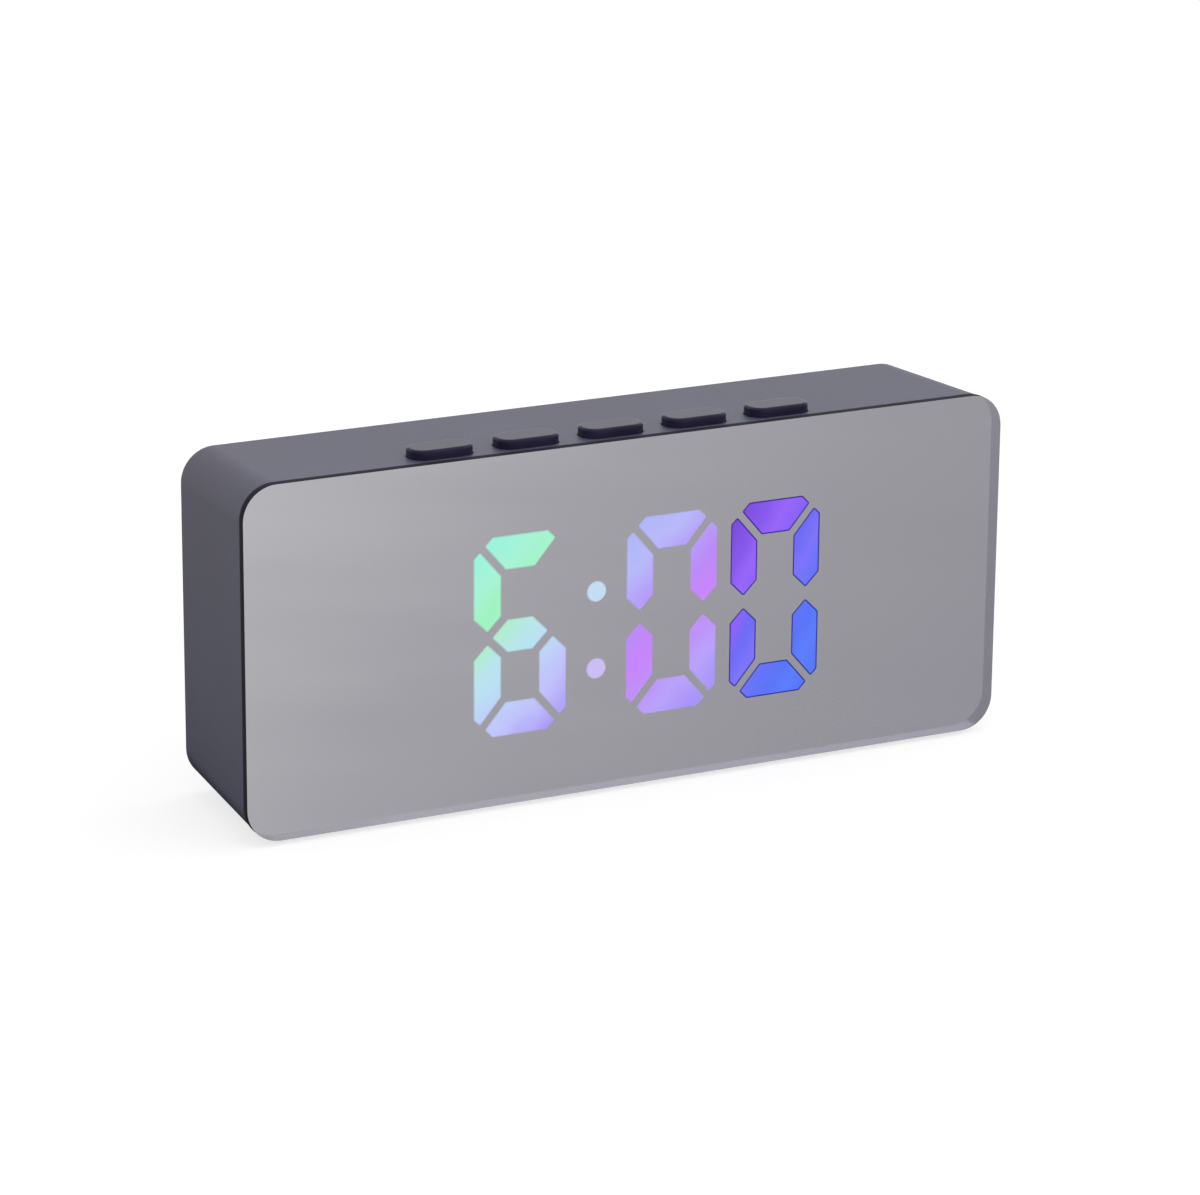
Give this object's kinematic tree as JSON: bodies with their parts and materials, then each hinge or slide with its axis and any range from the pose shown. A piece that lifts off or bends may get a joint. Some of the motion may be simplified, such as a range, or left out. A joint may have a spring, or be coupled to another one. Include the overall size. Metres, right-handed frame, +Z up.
{
  "type": "digital led desk clock",
  "caption": "Slim desk clock with a half-mirror front, large LED digits behind it, keys along the top and a battery door in the back.",
  "frame": {"origin": "on the table, under the middle of the clock", "axes": "+X to the right as seen from the front, +Y to the back, +Z up; the mirror faces -Y"},
  "size_m": [0.15, 0.0324, 0.0669],
  "materials": {
    "case_plastic": "satin moulded plastic",
    "mirror_acrylic": "half-mirror coated acrylic",
    "black_film": "matt black film",
    "white_reflector": "matt white",
    "segment_unlit": "milky resin, dark",
    "segment_mint": "milky resin, lit",
    "segment_lavender": "milky resin, lit",
    "segment_blue": "milky resin, lit",
    "segment_pale": "milky resin, lit",
    "led_resin": "clear resin",
    "frame_plastic": "matt moulded plastic",
    "board_green": "solder mask",
    "chip_black": "matt",
    "steel": "nickel plated",
    "aluminium_can": "satin",
    "ribbon_grey": "satin",
    "cell_wrap": "gloss wrap",
    "lead_red": "satin",
    "lead_black": "satin",
    "foot_rubber": "matt",
    "key_plastic": "polished",
    "plunger_plastic": "satin"
  },
  "bodies": {
    "clock": {"case": "case_plastic", "front_panel": "mirror_acrylic", "panel_tape": "black_film", "segment_mask": "black_film", "light_box": "white_reflector", "hour_tens_segments": "segment_unlit", "hour_units_segments": "segment_mint", "minute_tens_segments": "segment_lavender", "minute_units_segments": "segment_blue", "colon_dots": "segment_pale", "display_leds": "led_resin", "display_frame": "frame_plastic", "main_board": "board_green", "controller_chip": "chip_black", "clock_crystal": "steel", "power_capacitor": "aluminium_can", "buzzer": "chip_black", "key_board": "board_green", "key_switches": "chip_black", "key_ribbon": "ribbon_grey", "battery_tray": "frame_plastic", "battery_contacts": "steel", "battery_springs": "steel", "battery_cells": "cell_wrap", "usb_board": "board_green", "usb_socket": "steel", "battery_leads": "lead_red", "usb_leads": "lead_black", "case_screws": "steel", "board_screws": "steel", "front_feet": "foot_rubber", "rear_feet": "foot_rubber"},
    "mode_key_body": {"mode_key": "key_plastic", "mode_key_plunger": "plunger_plastic"},
    "alarm_key_body": {"alarm_key": "key_plastic", "alarm_key_plunger": "plunger_plastic"},
    "set_key_body": {"set_key": "key_plastic", "set_key_plunger": "plunger_plastic"},
    "plus_key_body": {"plus_key": "key_plastic", "plus_key_plunger": "plunger_plastic"},
    "minus_key_body": {"minus_key": "key_plastic", "minus_key_plunger": "plunger_plastic"},
    "door": {"battery_door": "case_plastic"}
  },
  "joints": [
    {"name": "mode_key_press", "type": "slide", "parent": "clock", "child": "mode_key_body", "axis": [0, -0.0422, -0.9991], "range_m": [0, 0.0004], "stiffness_N_per_m": 2500, "springref_m": -0.0002},
    {"name": "alarm_key_press", "type": "slide", "parent": "clock", "child": "alarm_key_body", "axis": [0, -0.0422, -0.9991], "range_m": [0, 0.0004], "stiffness_N_per_m": 2500, "springref_m": -0.0002},
    {"name": "set_key_press", "type": "slide", "parent": "clock", "child": "set_key_body", "axis": [0, -0.0422, -0.9991], "range_m": [0, 0.0004], "stiffness_N_per_m": 2500, "springref_m": -0.0002},
    {"name": "plus_key_press", "type": "slide", "parent": "clock", "child": "plus_key_body", "axis": [0, -0.0422, -0.9991], "range_m": [0, 0.0004], "stiffness_N_per_m": 2500, "springref_m": -0.0002},
    {"name": "minus_key_press", "type": "slide", "parent": "clock", "child": "minus_key_body", "axis": [0, -0.0422, -0.9991], "range_m": [0, 0.0004], "stiffness_N_per_m": 2500, "springref_m": -0.0002},
    {"name": "battery_door_hinge", "type": "hinge", "parent": "clock", "child": "door", "pos_m": [-0.014, 0.01625, 0.01585], "axis": [-1, 0, 0], "range_deg": [0, 80]}
  ]
}
